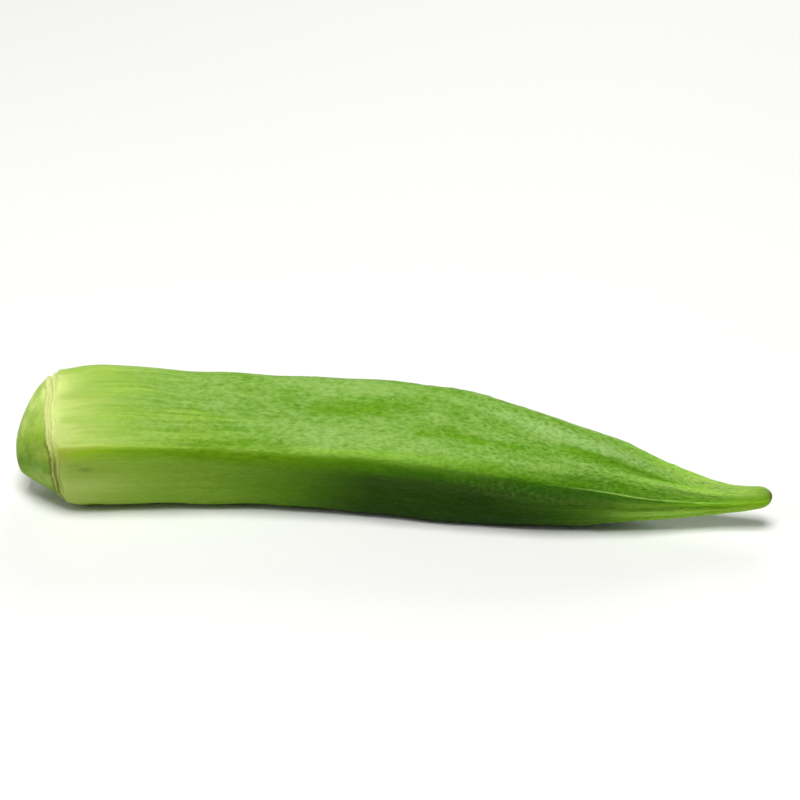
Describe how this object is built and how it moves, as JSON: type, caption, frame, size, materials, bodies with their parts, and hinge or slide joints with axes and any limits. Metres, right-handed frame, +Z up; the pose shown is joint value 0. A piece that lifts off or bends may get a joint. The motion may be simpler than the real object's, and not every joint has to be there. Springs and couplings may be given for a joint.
{
  "type": "okra pod",
  "caption": "Whole fresh okra pod lying on its side: a ridged green fruit that tapers to a blunt beak, with a smooth cap, a ragged scar ring and a cut stalk end.",
  "frame": {"origin": "on the surface the pod lies on, under the middle of its bounding box", "axes": "+X along the pod from the cut stalk to the tip, +Z up from the surface it lies on"},
  "size_m": [0.1304, 0.0256, 0.0239],
  "materials": {
    "pod_skin": null
  },
  "bodies": {
    "root": {"okra_pod": "pod_skin"}
  },
  "joints": []
}
